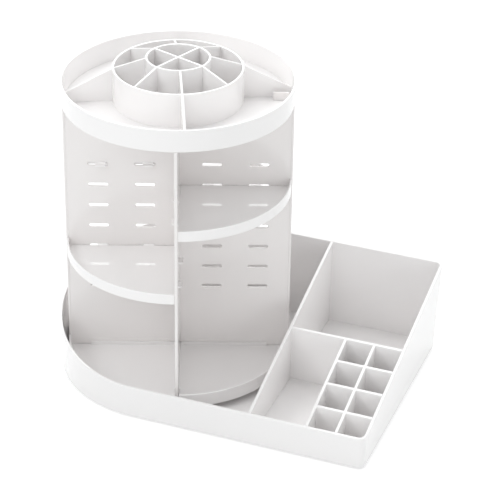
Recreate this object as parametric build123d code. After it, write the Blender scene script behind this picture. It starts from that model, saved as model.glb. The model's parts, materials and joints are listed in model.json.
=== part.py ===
from build123d import *
from math import cos, pi, radians, sin, sqrt, tan
import os

# Rotating makeup organizer: a round tower of shelves that turns in a long tray.
# Millimetres. Z is up and z = 0 is the table under the rubber feet. The sub-parts are
# drawn about the tower's axis, and on export they move so that the origin is the middle
# of the tray's footprint.

# Fits and clearances
RUN_GAP = 0.3  # between parts that turn or slide past each other
PLAY = 0.15  # between parts that are pushed together and stay
EDGE_R = 0.8  # rounding of the moulded rims
SOFT_R = 0.5  # rounding of thin walls' top edges

# Turntable disc under the tower
DISC_R = 118.2
DISC_FLOOR = 2.9
DISC_RIM_T = 2.2
DISC_RIM_H = 14.7  # underside to rim top
GUIDE_H = 3.7  # low ribs that hold the panels' feet
GUIDE_T = 1.6
NOTCH_GAP = 0.8  # panel's end to the rim beside it

# Base tray
FOOT_PROUD = 1.5  # rubber feet below the tray
TRAY_GAP = 4.3  # disc to the inside of the round end, at the floor
TRAY_WALL = 3.0
TRAY_FLOOR = 2.5
TRAY_SKIRT = 3.5  # walls go on below the floor plate
TRAY_DRAFT = 2.2  # degrees, walls lean outwards
TRAY_FRONT_CORNER_R = 7.0
TRAY_BACK_CORNER_R = 4.0
RIM_FRONT = 36.6  # slanted rim over the underside, at the front wall
RIM_BACK = 103.4  # and at the back wall
TRAY_END_R = DISC_R + TRAY_GAP + TRAY_WALL
TRAY_Z = FOOT_PROUD
TRAY_TOP_Z = TRAY_Z + TRAY_SKIRT + TRAY_FLOOR

# Compartment walls at the tray's right
DIVIDER_T = 3.0
BLOCK_GAP = 8.5  # disc to the compartments' left wall
FRONT_BAY = 61.1  # left wall to long divider, middle to middle
CELL_PITCH_X = 31.2
CELL_PITCH_Y = 31.3
CELL_ROWS = 4
LAST_CELL = 27.1  # middle wall to the right wall's inside, at the floor
CROSS_WALL_Y = -3.1
BLOCK_X = DISC_R + BLOCK_GAP + DIVIDER_T / 2
LONG_X = BLOCK_X + FRONT_BAY
GRID_X = LONG_X + CELL_PITCH_X
TRAY_RIGHT = GRID_X + LAST_CELL + TRAY_WALL

# Rubber feet
FOOT_R = 7.0
FOOT_T = 2.5
FOOT_CHAMFER = 0.5
FOOT_INSET = 20.0  # outer wall to a foot's middle
PAD_WALL = 2.0  # moulded pad round a foot

# Ball bearing and pivot
BEARING_H = 7.1  # tray floor to the disc's underside
BALL_R = 3.0
BALL_COUNT = 18
BALL_PITCH_R = 55.0
TRACK_W = 9.0
TRACK_GAP = 3.8  # between the two tracks, where the cage runs
CAGE_W = 14.0
CAGE_T = 2.0
BOSS_R = 22.0
BOSS_H = 4.8  # tray floor to the top of the pivot boss
BOSS_WALL = 2.5
HUB_R = 9.0
WASHER_R = 15.0
WASHER_T = 1.5
SCREW_R = 1.7
SCREW_HEAD_R = 3.8
SCREW_HEAD_H = 2.4
SCREW_HEAD_EDGE_R = 0.8
SCREW_LENGTH = 7.0
SCREW_CROSS = 0.9  # width of the recess's bars
SCREW_CROSS_L = 4.6
SCREW_PILOT = 0.05  # screw in its moulded hole
DISC_Z = TRAY_TOP_Z + BEARING_H
DISC_TOP_Z = DISC_Z + DISC_FLOOR
BALL_Z = TRAY_TOP_Z + BEARING_H / 2
BOSS_TOP_Z = TRAY_TOP_Z + BOSS_H
HUB_END_Z = BOSS_TOP_Z - BOSS_WALL - RUN_GAP

# Upright panels
TOWER_TURN = 21.25  # degrees, how far the tower stands turned in the tray
PANEL_INSET = 0.2  # panel's end to the disc's outer face
PANEL_H = 291.5
PANEL_T = 2.4
BEAD_T = 3.2  # thicker border of a panel
BEAD_W = 2.6
SLOT_L = 20.7
SLOT_H = 3.6
SLOT_INNER = 34.7  # panel's middle to the inner columns of slots
SLOT_OUTER = 83.2
SLOT_ROWS = 7
SLOT_PITCH = 24.1
SLOT_LOWEST = 73.8  # disc floor to the lowest row
SLOT_CHAMFER = 0.5
FOOT_BEAD_H = 7.1  # thicker foot between the guide ribs
FOOT_BEAD_START = 10.0
TAB_L = 16.0
TAB_INSET = 6.0  # panel's end to its snap tab
TAB_GAP = 0.6  # round a tab in its slot
TAB_LOWER = 2.4  # below the disc
TAB_UPPER = 8.0  # above the top tray's floor
HOOK_H = 1.6
HOOK_T = 0.9
PANEL_HALF = DISC_R - PANEL_INSET
TAB_START = PANEL_HALF - TAB_INSET - TAB_L
SLOT_COLUMNS = (SLOT_INNER, SLOT_OUTER)
TOP_Z = DISC_TOP_Z + PANEL_H

# Top tray
TOP_INSET = 0.7  # its rim's foot to the disc's outer face
TOP_FLOOR = 1.5
TOP_WALL = 2.8
TOP_RIM_H = 24.5  # underside to rim top
TOP_DRAFT = 4.7  # degrees, rim leans outwards
TOP_GUIDE_H = 3.0
TOP_R = DISC_R - TOP_INSET
TOP_FLOOR_Z = TOP_Z + TOP_FLOOR

# Cup insert
CUP_TURN = 4.7  # degrees, its walls against the panels
CUP_R = 66.5
CUP_H = 35.9
CORE_R = 33.1
CORE_H = 46.1
CUP_WALL = 2.4
CUP_FLOOR = 1.6
WING_T = 3.0
WING_END_H = 10.3

# Quarter shelves
SHELF_INSET = 1.4  # a shelf's rim to the disc's outer face
SHELF_FLOOR = 2.0
SHELF_RIM_T = 2.0
SHELF_RIM_UP = 8.8  # floor to rim top
SHELF_RIM_DOWN = 0.4  # rim below the floor's underside
SHELF_TAB_PROUD = 4.0  # past the panel's far face
SHELF_TAB_RISE = RUN_GAP  # slot's lower edge to the tab
SHELF_R = DISC_R - SHELF_INSET
SHELF_EDGE = BEAD_T / 2 + RUN_GAP  # panel's middle to a shelf's straight edge
SHELF_TAB_START = (SLOT_L - SLOT_H) / 2  # slot's middle inwards to where the tab begins
SHELF_TAB_L = SLOT_L - SLOT_H - PANEL_T - SHELF_TAB_PROUD  # leaves the slot room to slide out
SHELF_ROWS = {  # slot row of each quarter, counted from the top
    "shelf_rear_right": 3,
    "shelf_rear_left": 1,
    "shelf_front_left": 5,
    "shelf_front_right": 2,
}


def box(x0, x1, y0, y1, z0, z1):
    middle = Pos((x0 + x1) / 2, (y0 + y1) / 2, (z0 + z1) / 2)
    return middle * Box(x1 - x0, y1 - y0, z1 - z0)


def drum(radius, z0, z1):
    return Pos(0, 0, (z0 + z1) / 2) * Cylinder(radius, z1 - z0)


def ring(outer, inner, z0, z1):
    return drum(outer, z0, z1) - drum(inner, z0, z1)


def rounded_ring(outer, inner, z0, z1, radius):
    body = ring(outer, inner, z0, z1)
    return fillet(body.edges().group_by(Axis.Z)[-1], radius)


def drafted_ring(outer, wall, z0, z1, draft, radius):
    """A ring that leans outwards, with its top edges and its foot's outer edge rounded."""
    height = z1 - z0
    lean = height * tan(radians(draft))
    body = Cone(outer, outer + lean, height) - Cone(outer - wall, outer - wall + lean, height)
    body = fillet(body.edges().group_by(Axis.Z)[-1], radius)
    body = fillet(body.edges().group_by(Axis.Z)[0].sort_by(SortBy.LENGTH)[-1], radius)
    return Pos(0, 0, (z0 + z1) / 2) * body


def groove(z, radius):
    return Pos(0, 0, z) * Torus(BALL_PITCH_R, radius)


def rim_height(y):
    rise = (RIM_BACK - RIM_FRONT) / (2 * TRAY_END_R)
    return TRAY_Z + RIM_FRONT + rise * (y + TRAY_END_R)


def above_rim():
    """Everything over the slanted plane that the tray's rim lies in."""
    reach = 2 * TRAY_END_R
    ceiling = rim_height(reach) + reach
    side = Polyline(
        (-reach, rim_height(-reach)),
        (reach, rim_height(reach)),
        (reach, ceiling),
        (-reach, ceiling),
        close=True,
    )
    face = Plane.YZ * make_face(side)
    return Pos(-2 * TRAY_RIGHT, 0, 0) * extrude(face, 4 * TRAY_RIGHT, dir=(1, 0, 0))


def on_rim(edge):
    ends = edge.position_at(0), edge.position_at(1)
    return all(abs(p.Z - rim_height(p.Y)) < 0.001 for p in ends)


def tray_solid(z, inset):
    """The tray's outline grown upwards with the walls' draft, cut at the rim plane."""
    half = TRAY_END_R - inset
    right = TRAY_RIGHT - inset
    plan = Circle(half) + Pos(right / 2, 0) * Rectangle(right, 2 * half)
    for end, radius in ((0, TRAY_FRONT_CORNER_R), (-1, TRAY_BACK_CORNER_R)):
        corner = plan.vertices().group_by(Axis.X)[-1].sort_by(Axis.Y)[end]
        plan = fillet(corner, radius - inset)
    height = rim_height(2 * TRAY_END_R)
    return Pos(0, 0, z) * extrude(plan, height, taper=-TRAY_DRAFT) - above_rim()


def tray_cavity():
    lean = (TRAY_TOP_Z - TRAY_Z) * tan(radians(TRAY_DRAFT))
    return tray_solid(TRAY_TOP_Z, TRAY_WALL - lean)


def foot_places():
    reach = TRAY_END_R - FOOT_INSET
    corner = TRAY_RIGHT - FOOT_INSET
    slant = reach / sqrt(2)
    return [(x, s * y) for x, y in ((-slant, slant), (BLOCK_X, reach), (corner, reach)) for s in (-1, 1)]


def tray_underside():
    """The hollow under the floor plate, inside the walls and round the feet's pads."""
    reach = 2 * TRAY_RIGHT
    floor_z = TRAY_Z + TRAY_SKIRT
    hollow = tray_solid(TRAY_Z, TRAY_WALL) & box(-reach, reach, -reach, reach, TRAY_Z, floor_z)
    pad = drum(FOOT_R + PAD_WALL, TRAY_Z, floor_z)
    for x, y in foot_places():
        hollow -= Pos(x, y, 0) * pad
    return hollow


def base_tray():
    shell = tray_solid(TRAY_Z, 0) - tray_cavity()
    shell = fillet(shell.edges().filter_by(on_rim), EDGE_R)
    shell = fillet(shell.edges().group_by(Axis.Z)[0], EDGE_R)
    shell -= tray_underside()
    shell += drum(BOSS_R, TRAY_Z, BOSS_TOP_Z)
    shell -= drum(BOSS_R - BOSS_WALL, TRAY_Z, BOSS_TOP_Z - BOSS_WALL)
    shell -= drum(HUB_R + RUN_GAP, TRAY_Z, BOSS_TOP_Z)
    track_top = BALL_Z - TRACK_GAP / 2
    track = ring(BALL_PITCH_R + TRACK_W / 2, BALL_PITCH_R - TRACK_W / 2, TRAY_TOP_Z, track_top)
    shell += track - groove(BALL_Z, BALL_R + RUN_GAP)
    pocket = drum(FOOT_R + PLAY, TRAY_Z, TRAY_Z + FOOT_T - FOOT_PROUD)
    for x, y in foot_places():
        shell -= Pos(x, y, 0) * pocket
    return shell


def divider(x0, x1, y0, y1):
    """A wall that fills the tray's cavity over one strip of the floor."""
    return box(x0, x1, y0, y1, 0, rim_height(2 * TRAY_END_R)) & tray_cavity()


def soft_top(walls):
    return fillet(walls.edges().filter_by(on_rim), SOFT_R)


def side_block_walls():
    """The compartments' left wall and the cross wall behind the lipstick cells."""
    half = DIVIDER_T / 2
    left = divider(BLOCK_X - half, BLOCK_X + half, -2 * TRAY_END_R, 2 * TRAY_END_R)
    cross = divider(BLOCK_X, 2 * TRAY_RIGHT, CROSS_WALL_Y - half, CROSS_WALL_Y + half)
    return soft_top(left + cross)


def long_divider():
    half = DIVIDER_T / 2
    return soft_top(divider(LONG_X - half, LONG_X + half, -2 * TRAY_END_R, CROSS_WALL_Y - half))


def lipstick_grid():
    half = DIVIDER_T / 2
    front = -2 * TRAY_END_R
    back = CROSS_WALL_Y - half
    grid = divider(GRID_X - half, GRID_X + half, front, back)
    for row in range(1, CELL_ROWS):
        y = CROSS_WALL_Y - row * CELL_PITCH_Y
        grid += divider(LONG_X + half, 2 * TRAY_RIGHT, y - half, y + half)
    return soft_top(grid)


def rubber_feet():
    foot = drum(FOOT_R, 0, FOOT_T)
    foot = chamfer(foot.edges().group_by(Axis.Z)[0], FOOT_CHAMFER)
    return Compound([Pos(x, y, 0) * foot for x, y in foot_places()])


def ball_places():
    turns = [2 * pi * i / BALL_COUNT for i in range(BALL_COUNT)]
    return [(BALL_PITCH_R * cos(t), BALL_PITCH_R * sin(t)) for t in turns]


def bearing_balls():
    return Compound([Pos(x, y, BALL_Z) * Sphere(BALL_R) for x, y in ball_places()])


def ball_cage():
    half = CAGE_W / 2
    cage = ring(BALL_PITCH_R + half, BALL_PITCH_R - half, BALL_Z - CAGE_T / 2, BALL_Z + CAGE_T / 2)
    pocket = drum(BALL_R + PLAY, BALL_Z - CAGE_T, BALL_Z + CAGE_T)
    for x, y in ball_places():
        cage -= Pos(x, y, 0) * pocket
    return cage


def pivot_washer():
    return ring(WASHER_R, SCREW_R + PLAY, HUB_END_Z - WASHER_T, HUB_END_Z)


def pivot_screw():
    seat = HUB_END_Z - WASHER_T
    head = drum(SCREW_HEAD_R, seat - SCREW_HEAD_H, seat)
    head = fillet(head.edges().group_by(Axis.Z)[0], SCREW_HEAD_EDGE_R)
    arm = SCREW_CROSS_L / 2
    recess_top = seat - SCREW_HEAD_H / 2
    for turn in (0, 90):
        bar = box(-arm, arm, -SCREW_CROSS / 2, SCREW_CROSS / 2, 0, recess_top)
        head -= Rot(0, 0, turn) * bar
    return head + drum(SCREW_R, seat, seat + SCREW_LENGTH)


def four_ways(shape):
    return [Rot(0, 0, 90 * i) * shape for i in range(4)]


def guide_ribs(z0, z1):
    """Pairs of low ribs along the four arms of the cross that the panels make."""
    inner = BEAD_T / 2 + PLAY
    strip = box(inner, TAB_START - GUIDE_T, inner, inner + GUIDE_T, z0, z1)
    ribs = four_ways(strip)
    ribs += four_ways(mirror(strip, Plane.XZ))
    return ribs


def tab_slot(z0, z1):
    half = PANEL_T / 2 + TAB_GAP
    return box(TAB_START - TAB_GAP, TAB_START + TAB_L + TAB_GAP, -half, half, z0, z1)


def turntable_disc():
    rim_top = DISC_Z + DISC_RIM_H
    disc = rounded_ring(DISC_R, DISC_R - DISC_RIM_T, DISC_Z, rim_top, EDGE_R)
    disc += drum(DISC_R - DISC_RIM_T / 2, DISC_Z, DISC_TOP_Z)
    for rib in guide_ribs(DISC_TOP_Z, DISC_TOP_Z + GUIDE_H):
        disc += rib
    notch_half = BEAD_T / 2 + NOTCH_GAP
    notch = box(DISC_R - 2 * DISC_RIM_T, DISC_R + DISC_RIM_T, -notch_half, notch_half, DISC_TOP_Z, rim_top)
    for cut in four_ways(notch) + four_ways(tab_slot(DISC_Z, DISC_TOP_Z)):
        disc -= cut
    track_low = BALL_Z + TRACK_GAP / 2
    track = ring(BALL_PITCH_R + TRACK_W / 2, BALL_PITCH_R - TRACK_W / 2, track_low, DISC_Z)
    disc += track - groove(BALL_Z, BALL_R + RUN_GAP)
    disc += drum(HUB_R, HUB_END_Z, DISC_Z)
    screw_tip = HUB_END_Z - WASHER_T + SCREW_LENGTH
    return disc - drum(SCREW_R + SCREW_PILOT, HUB_END_Z, screw_tip + PLAY)


def snap_tab(root, seat, tip):
    """A tab from root to tip, with a hook on each face that catches just past seat."""
    way = 1 if tip > root else -1
    end = TAB_START + TAB_L
    tab = box(TAB_START, end, -PANEL_T / 2, PANEL_T / 2, min(root, tip), max(root, tip))
    catch = seat + way * RUN_GAP
    half = PANEL_T / 2
    barb = Polyline((half, catch), (half + HOOK_T, catch), (half, catch + way * HOOK_H), close=True)
    hook = Pos(TAB_START, 0, 0) * extrude(Plane.YZ * make_face(barb), TAB_L, dir=(1, 0, 0))
    return tab + hook + mirror(hook, Plane.XZ)


def slot_cuts():
    slot = Plane.XZ * SlotOverall(SLOT_L, SLOT_H)
    bar = extrude(slot, BEAD_T, both=True)
    rows = [DISC_TOP_Z + SLOT_LOWEST + SLOT_PITCH * i for i in range(SLOT_ROWS)]
    return [Pos(s * x, 0, z) * bar for x in SLOT_COLUMNS for s in (-1, 1) for z in rows]


def slotted_plate(z0, z1):
    plate = box(-PANEL_HALF, PANEL_HALF, -PANEL_T / 2, PANEL_T / 2, z0, z1)
    for cut in slot_cuts():
        plate -= cut
    rims = plate.edges().filter_by(lambda e: z0 < e.center().Z < z1 and e.length < SLOT_L)
    return chamfer(rims.filter_by(Axis.Y, reverse=True), SLOT_CHAMFER)


def panel():
    """A full-width upright plate with a thicker border, slots and four snap tabs."""
    z0, z1 = DISC_TOP_Z, TOP_Z
    bead = box(PANEL_HALF - BEAD_W, PANEL_HALF, -BEAD_T / 2, BEAD_T / 2, z0, z1)
    half = fillet(bead.edges().filter_by(Axis.Z), EDGE_R)
    foot = box(FOOT_BEAD_START, TAB_START - TAB_GAP, -BEAD_T / 2, BEAD_T / 2, z0, z0 + FOOT_BEAD_H)
    half += chamfer(foot.edges().group_by(Axis.Z)[-1].filter_by(Axis.X), (BEAD_T - PANEL_T) / 2)
    half += snap_tab(z0, DISC_Z, DISC_Z - TAB_LOWER)
    half += snap_tab(z1, TOP_FLOOR_Z, TOP_FLOOR_Z + TAB_UPPER)
    return slotted_plate(z0, z1) + half + mirror(half, Plane.YZ)


def halving(z0, z1):
    half = PANEL_T / 2 + PLAY
    return box(-half, half, -BEAD_T, BEAD_T, z0, z1)


def wide_panel():
    return panel() - halving(DISC_TOP_Z, DISC_TOP_Z + PANEL_H / 2)


def cross_panel():
    plate = panel() - halving(DISC_TOP_Z + PANEL_H / 2, TOP_Z)
    return Rot(0, 0, 90) * plate


def top_tray():
    tray = drafted_ring(TOP_R, TOP_WALL, TOP_Z, TOP_Z + TOP_RIM_H, TOP_DRAFT, EDGE_R)
    tray += drum(TOP_R - TOP_WALL / 2, TOP_Z, TOP_FLOOR_Z)
    for rib in guide_ribs(TOP_Z - TOP_GUIDE_H, TOP_Z):
        tray += rib
    for cut in four_ways(tab_slot(TOP_Z, TOP_FLOOR_Z)):
        tray -= cut
    return tray


def radial_wall(r0, h0, r1, h1, thickness):
    """A wall along X whose top slopes from height h0 at r0 to h1 at r1."""
    side = Polyline((r0, 0), (r1, 0), (r1, h1), (r0, h0), close=True)
    wall = extrude(Plane.XZ * make_face(side), thickness / 2, both=True)
    top = wall.faces().sort_by(Axis.Z)[-1]
    return fillet(top.edges().filter_by(Axis.Y, reverse=True), SOFT_R)


def cup_insert():
    cup = rounded_ring(CUP_R, CUP_R - CUP_WALL, 0, CUP_H, SOFT_R)
    cup += rounded_ring(CORE_R, CORE_R - CUP_WALL, 0, CORE_H, SOFT_R)
    cup += drum(CUP_R - CUP_WALL / 2, 0, CUP_FLOOR)
    core_mid = CORE_R - CUP_WALL / 2
    cup_mid = CUP_R - CUP_WALL / 2
    spoke = radial_wall(core_mid, CORE_H, cup_mid, CUP_H, CUP_WALL)
    for i in range(8):
        cup += Rot(0, 0, 45 * i) * spoke
    core = radial_wall(-core_mid, CORE_H, core_mid, CORE_H, CUP_WALL)
    for turn in (45, 135):
        cup += Rot(0, 0, turn) * core
    wing_end = TOP_R - TOP_WALL - RUN_GAP
    wing = radial_wall(cup_mid, CUP_H, wing_end, WING_END_H, WING_T)
    for arm in four_ways(wing):
        cup += arm
    return Pos(0, 0, TOP_FLOOR_Z) * Rot(0, 0, CUP_TURN) * cup


def slot_row_z(row):
    """Height of a slot row's middle. Row 1 is the highest."""
    return DISC_TOP_Z + SLOT_LOWEST + SLOT_PITCH * (SLOT_ROWS - row)


def shelf(row):
    """A quarter shelf for the quadrant between the X and Y arms of the cross."""
    z0 = slot_row_z(row) - SLOT_H / 2 + SHELF_TAB_RISE
    z1 = z0 + SHELF_FLOOR
    rim = rounded_ring(SHELF_R, SHELF_R - SHELF_RIM_T, z0 - SHELF_RIM_DOWN, z1 + SHELF_RIM_UP, EDGE_R)
    board = rim + drum(SHELF_R - SHELF_RIM_T / 2, z0, z1)
    reach = 2 * SHELF_R
    board &= box(SHELF_EDGE, reach, SHELF_EDGE, reach, z0 - reach, z1 + reach)
    tip = -PANEL_T / 2 - SHELF_TAB_PROUD
    for column in SLOT_COLUMNS:
        near = column - SHELF_TAB_START
        far = near + SHELF_TAB_L
        board += box(near, far, tip, SHELF_EDGE + PANEL_T, z0, z1)
        board += box(tip, SHELF_EDGE + PANEL_T, near, far, z0, z1)
    return board


def tower_parts():
    parts = {
        "turntable_disc": turntable_disc(),
        "pivot_washer": pivot_washer(),
        "pivot_screw": pivot_screw(),
        "wide_panel": wide_panel(),
        "cross_panel": cross_panel(),
        "top_tray": top_tray(),
        "cup_insert": cup_insert(),
    }
    for quarter, (name, row) in enumerate(SHELF_ROWS.items()):
        parts[name] = Rot(0, 0, 90 * quarter) * shelf(row)
    return {name: Rot(0, 0, TOWER_TURN) * body for name, body in parts.items()}


def all_parts():
    parts = {
        "base_tray": base_tray(),
        "side_block_walls": side_block_walls(),
        "long_divider": long_divider(),
        "lipstick_grid": lipstick_grid(),
        "rubber_feet": rubber_feet(),
        "ball_cage": ball_cage(),
        "bearing_balls": bearing_balls(),
    }
    parts.update(tower_parts())
    return parts


def frame_shift(tray):
    """From the tower's axis to the middle of the tray's footprint."""
    middle = tray.bounding_box().center()
    return Pos(-middle.X, -middle.Y, 0)


pieces = all_parts()
shift = frame_shift(pieces["base_tray"])
os.makedirs("parts", exist_ok=True)
for name, body in pieces.items():
    export_step(shift * body, f"parts/{name}.step")
print("tower axis at", shift.position)
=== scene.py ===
import json
from math import pi

import bpy
from mathutils import Matrix, Vector

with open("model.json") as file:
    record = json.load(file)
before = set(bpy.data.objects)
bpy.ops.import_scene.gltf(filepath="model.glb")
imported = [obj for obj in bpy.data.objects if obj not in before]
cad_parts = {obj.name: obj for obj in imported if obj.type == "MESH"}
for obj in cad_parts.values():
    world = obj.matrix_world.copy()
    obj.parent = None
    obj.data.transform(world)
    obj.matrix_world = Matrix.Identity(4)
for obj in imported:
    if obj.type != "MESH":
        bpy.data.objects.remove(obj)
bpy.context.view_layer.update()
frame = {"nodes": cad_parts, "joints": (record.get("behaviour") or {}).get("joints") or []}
nodes = frame["nodes"]

# Camera, solved from the photo's edges. Angles are in radians, places in metres.
FRAME_PX = 500
FOCAL_PX = 2073.8
SENSOR_MM = 36.0
CAMERA_YAW = 0.355
CAMERA_PITCH = 0.5201
CAMERA_ROLL = 0.0166
CAMERA_FROM_AXIS = Vector((0.7291, -1.7510, 1.2207))  # from the tower's foot on the table
CAMERA_REACH = 50.0

# Light
WORLD_STRENGTH = 0.65
LIGHT_TINT = (0.98, 1.0, 1.005)  # faintly cool, so that only light bounced inside turns warm
LIGHT_TARGET = Vector((0.0, 0.0, 0.15))

# Floor
FLOOR_REACH = 6.0
FLOOR_GREY = 0.8  # as light meets it
SEEN_FLOOR_GREY = 0.6  # as the camera sees it, darkened by shadows
SEEN_FLOOR_GLOW = 0.58  # lifts the unshadowed floor to white

# Marks in the materials, in features per metre
FLOW_MARKS = 14.0
GLOSS_CLOUDS = 60.0
ORANGE_PEEL = 900.0
METAL_STAINS = 400.0
METAL_SCUFFS = 1500.0
RUBBER_STAINS = 300.0
RUBBER_GRAIN = 2500.0

# Surfaces
PLASTIC_IOR = 1.53
GLOSS_RANGE = (0.8, 1.3)  # shares of a plastic's roughness
PEEL_BUMP = 0.02
PEEL_DEPTH = 0.0004
SCUFF_ROUGHNESS = 0.15
RUBBER_ROUGHNESS = 0.7
RUBBER_BUMP = 0.3
RUBBER_DEPTH = 0.0003


def tower_axis():
    """The tower's axis on the table, from the joint it turns on."""
    spin = next(j for j in frame["joints"] if j["name"] == "tower_spin")
    return Vector((spin["pos_m"][0], spin["pos_m"][1], 0.0))


def make_camera():
    """The photo's camera."""
    data = bpy.data.cameras.new("camera")
    data.sensor_width = SENSOR_MM
    data.lens = FOCAL_PX / FRAME_PX * SENSOR_MM
    data.clip_end = CAMERA_REACH
    camera = bpy.data.objects.new("camera", data)
    turn = Matrix.Rotation(CAMERA_YAW, 4, "Z") @ Matrix.Rotation(pi / 2 - CAMERA_PITCH, 4, "X")
    turn = turn @ Matrix.Rotation(CAMERA_ROLL, 4, "Z")
    camera.matrix_world = Matrix.Translation(tower_axis() + CAMERA_FROM_AXIS) @ turn
    bpy.context.scene.collection.objects.link(camera)
    bpy.context.scene.camera = camera


def new_material(name):
    """An empty node material, its tree and its output node."""
    material = bpy.data.materials.new(name)
    material.use_nodes = True
    tree = material.node_tree
    tree.nodes.clear()
    output = tree.nodes.new("ShaderNodeOutputMaterial")
    return material, tree, output


def add_node(tree, kind, **settings):
    """A new node, with each setting put on its property or on its input socket."""
    node = tree.nodes.new(kind)
    for key, value in settings.items():
        if hasattr(node, key):
            setattr(node, key, value)
        else:
            node.inputs[key].default_value = value
    return node


def noise(tree, scale, detail=2.0, roughness=0.5):
    """Noise over the object's own coordinates, in features per metre."""
    place = add_node(tree, "ShaderNodeTexCoord")
    node = add_node(tree, "ShaderNodeTexNoise", Scale=scale, Detail=detail, Roughness=roughness)
    tree.links.new(place.outputs["Object"], node.inputs["Vector"])
    return node.outputs["Fac"]


def ramp(tree, source, low, high):
    """Maps a 0..1 value onto the range between two numbers."""
    node = tree.nodes.new("ShaderNodeMapRange")
    node.inputs["To Min"].default_value = low
    node.inputs["To Max"].default_value = high
    tree.links.new(source, node.inputs["Value"])
    return node.outputs["Result"]


def colour_mix(tree, factor, one, two):
    """A colour between two, chosen by the factor."""
    node = add_node(tree, "ShaderNodeMix", data_type="RGBA")
    node.inputs["A"].default_value = (*one, 1.0)
    node.inputs["B"].default_value = (*two, 1.0)
    tree.links.new(factor, node.inputs["Factor"])
    return node.outputs["Result"]


def plastic(name, pale, dark, rough):
    """Moulded plastic: faint flow marks in the colour and an orange-peel bump."""
    material, tree, output = new_material(name)
    shader = add_node(tree, "ShaderNodeBsdfPrincipled")
    flow = noise(tree, FLOW_MARKS, 3.0)
    tree.links.new(colour_mix(tree, flow, pale, dark), shader.inputs["Base Color"])
    cloud = noise(tree, GLOSS_CLOUDS)
    least, most = GLOSS_RANGE
    tree.links.new(ramp(tree, cloud, least * rough, most * rough), shader.inputs["Roughness"])
    shader.inputs["IOR"].default_value = PLASTIC_IOR
    bump = add_node(tree, "ShaderNodeBump", Strength=PEEL_BUMP, Distance=PEEL_DEPTH)
    tree.links.new(noise(tree, ORANGE_PEEL, 1.0), bump.inputs["Height"])
    tree.links.new(bump.outputs["Normal"], shader.inputs["Normal"])
    tree.links.new(shader.outputs["BSDF"], output.inputs["Surface"])
    return material


def metal(name, pale, dark, rough):
    """Plated or polished steel: faint stains in the colour and scuffs in the gloss."""
    material, tree, output = new_material(name)
    shader = add_node(tree, "ShaderNodeBsdfPrincipled")
    shader.inputs["Metallic"].default_value = 1.0
    stains = noise(tree, METAL_STAINS, 4.0)
    tree.links.new(colour_mix(tree, stains, pale, dark), shader.inputs["Base Color"])
    scuffs = noise(tree, METAL_SCUFFS)
    tree.links.new(ramp(tree, scuffs, rough, rough + SCUFF_ROUGHNESS), shader.inputs["Roughness"])
    tree.links.new(shader.outputs["BSDF"], output.inputs["Surface"])
    return material


def rubber(name, pale, dark):
    """Dull rubber with a grainy skin."""
    material, tree, output = new_material(name)
    shader = add_node(tree, "ShaderNodeBsdfPrincipled")
    stains = noise(tree, RUBBER_STAINS, 3.0)
    tree.links.new(colour_mix(tree, stains, pale, dark), shader.inputs["Base Color"])
    shader.inputs["Roughness"].default_value = RUBBER_ROUGHNESS
    bump = add_node(tree, "ShaderNodeBump", Strength=RUBBER_BUMP, Distance=RUBBER_DEPTH)
    tree.links.new(noise(tree, RUBBER_GRAIN), bump.inputs["Height"])
    tree.links.new(bump.outputs["Normal"], shader.inputs["Normal"])
    tree.links.new(shader.outputs["BSDF"], output.inputs["Surface"])
    return material


def dress(names, material):
    """Gives the named nodes one material in place of their own."""
    for name in names:
        mesh = nodes[name].data
        mesh.materials.clear()
        mesh.materials.append(material)


def dress_nodes():
    """Every node's material."""
    white = plastic("white_plastic", (0.965, 0.945, 0.94), (0.945, 0.925, 0.92), 0.04)
    # The two panels get a darker copy of the white plastic. This is painted shade for their shaded
    # bays.
    painted_shade_panel = plastic("panel_plastic", (0.93, 0.90, 0.89), (0.91, 0.88, 0.87), 0.06)
    cage = plastic("cage_plastic", (0.72, 0.72, 0.69), (0.66, 0.66, 0.63), 0.45)
    steel = metal("ball_steel", (0.72, 0.72, 0.74), (0.66, 0.66, 0.68), 0.06)
    zinc = metal("zinc_steel", (0.70, 0.71, 0.73), (0.58, 0.60, 0.62), 0.25)
    foot = rubber("foot_rubber", (0.42, 0.42, 0.41), (0.36, 0.36, 0.35))
    dress(["base_tray", "side_block_walls", "long_divider", "lipstick_grid"], white)
    dress(["turntable_disc", "top_tray", "cup_insert"], white)
    dress([n for n in nodes if n.startswith("shelf_")], white)
    dress(["wide_panel", "cross_panel"], painted_shade_panel)
    dress(["ball_cage"], cage)
    dress(["bearing_balls"], steel)
    dress(["pivot_screw", "pivot_washer"], zinc)
    dress(["rubber_feet"], foot)


def seen_directly(tree):
    """1 for rays from the camera and for those mirrored or let through, 0 for light."""
    path = tree.nodes.new("ShaderNodeLightPath")
    total = path.outputs["Is Camera Ray"]
    for kind in ("Is Glossy Ray", "Is Transmission Ray"):
        add = add_node(tree, "ShaderNodeMath", operation="ADD", use_clamp=True)
        tree.links.new(total, add.inputs[0])
        tree.links.new(path.outputs[kind], add.inputs[1])
        total = add.outputs["Value"]
    return total


def stage_material():
    """White for the camera, apart from the object's soft shadow, and plain pale for light."""
    material, tree, output = new_material("floor_white")
    lit = add_node(tree, "ShaderNodeBsdfDiffuse", Color=(*[FLOOR_GREY] * 3, 1.0))
    seen_matt = add_node(tree, "ShaderNodeBsdfDiffuse", Color=(*[SEEN_FLOOR_GREY] * 3, 1.0))
    glow = add_node(tree, "ShaderNodeEmission", Color=(1.0, 1.0, 1.0, 1.0), Strength=SEEN_FLOOR_GLOW)
    seen = add_node(tree, "ShaderNodeAddShader")
    tree.links.new(seen_matt.outputs["BSDF"], seen.inputs[0])
    tree.links.new(glow.outputs["Emission"], seen.inputs[1])
    pick = add_node(tree, "ShaderNodeMixShader")
    tree.links.new(seen_directly(tree), pick.inputs["Fac"])
    tree.links.new(lit.outputs["BSDF"], pick.inputs[1])
    tree.links.new(seen.outputs["Shader"], pick.inputs[2])
    tree.links.new(pick.outputs["Shader"], output.inputs["Surface"])
    return material


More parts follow.
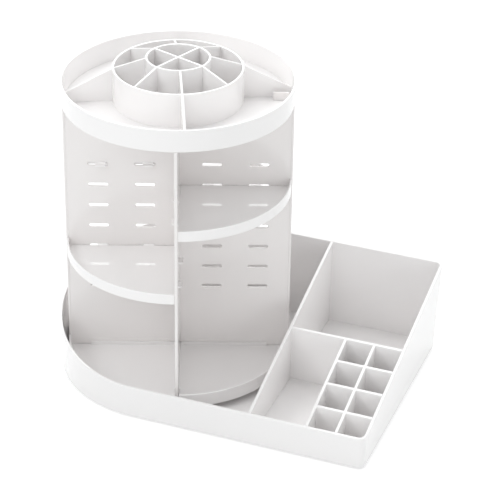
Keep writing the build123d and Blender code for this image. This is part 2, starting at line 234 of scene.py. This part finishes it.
def make_floor():
    """A square floor at the object's feet."""
    mesh = bpy.data.meshes.new("floor")
    r = FLOOR_REACH
    mesh.from_pydata([(-r, -r, 0), (r, -r, 0), (r, r, 0), (-r, r, 0)], [], [(0, 1, 2, 3)])
    mesh.materials.append(stage_material())
    floor = bpy.data.objects.new("floor", mesh)
    bpy.context.scene.collection.objects.link(floor)


def make_world():
    """Soft light from all round, before a white backdrop."""
    world = bpy.data.worlds.new("studio")
    bpy.context.scene.world = world
    world.use_nodes = True
    tree = world.node_tree
    tree.nodes.clear()
    output = tree.nodes.new("ShaderNodeOutputWorld")
    light = add_node(tree, "ShaderNodeBackground", Color=(*LIGHT_TINT, 1.0), Strength=WORLD_STRENGTH)
    seen = add_node(tree, "ShaderNodeBackground", Color=(1.0, 1.0, 1.0, 1.0), Strength=1.0)
    pick = add_node(tree, "ShaderNodeMixShader")
    tree.links.new(seen_directly(tree), pick.inputs["Fac"])
    tree.links.new(light.outputs["Background"], pick.inputs[1])
    tree.links.new(seen.outputs["Background"], pick.inputs[2])
    tree.links.new(pick.outputs["Shader"], output.inputs["Surface"])


def softbox(name, place, width, watts):
    """A square lamp at a place, turned to the object."""
    data = bpy.data.lights.new(name, "AREA")
    data.shape = "SQUARE"
    data.size = width
    data.energy = watts
    data.color = LIGHT_TINT
    lamp = bpy.data.objects.new(name, data)
    lamp.location = place
    aim = LIGHT_TARGET - Vector(place)
    lamp.rotation_euler = aim.to_track_quat("-Z", "Y").to_euler()
    bpy.context.scene.collection.objects.link(lamp)


def make_lights():
    """The studio's lamps, with their places and widths in metres and their power in watts."""
    softbox("overhead_softbox", (-0.5, 0.9, 2.2), 1.8, 20.5)
    softbox("left_softbox", (-1.4, -1.5, 1.9), 0.9, 14.0)
    softbox("back_softbox", (-0.75, 1.8, 1.35), 1.0, 5.5)
    softbox("back_right_softbox", (1.4, 1.5, 1.6), 1.6, 4.5)
    softbox("front_right_softbox", (1.9, -1.1, 0.5), 1.0, 5.6)
    softbox("front_softbox", (-0.3, -2.3, 0.4), 1.0, 3.2)


make_camera()
make_floor()
make_world()
make_lights()
dress_nodes()
bpy.context.scene.view_settings.view_transform = "Standard"
